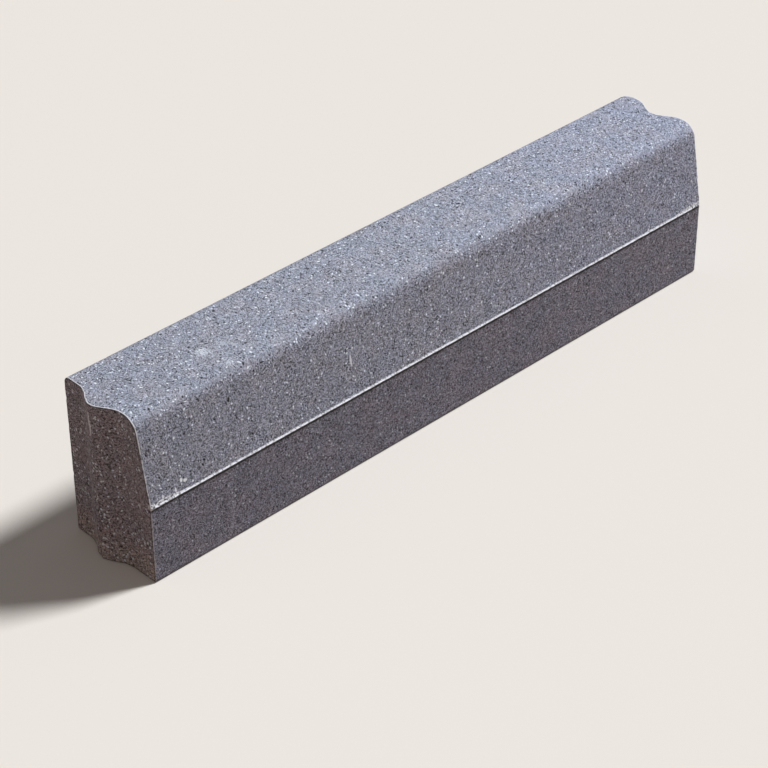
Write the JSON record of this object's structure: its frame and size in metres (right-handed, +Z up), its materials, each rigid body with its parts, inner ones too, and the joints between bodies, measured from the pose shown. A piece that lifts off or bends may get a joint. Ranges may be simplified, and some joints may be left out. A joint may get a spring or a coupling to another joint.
{
  "type": "concrete kerb stone",
  "caption": "Grey precast kerb stone with battered road face, rounded shoulder, and a tongue and groove end lock.",
  "frame": {"origin": "in the bed plane, under the middle of the overall box", "axes": "+X along the kerb from the tongue end to the groove end, +Y from the road face to the back, +Z up"},
  "size_m": [1.014, 0.152, 0.23],
  "materials": {
    "concrete": "matte"
  },
  "bodies": {
    "root": {"kerb_stone": "concrete"}
  },
  "joints": []
}
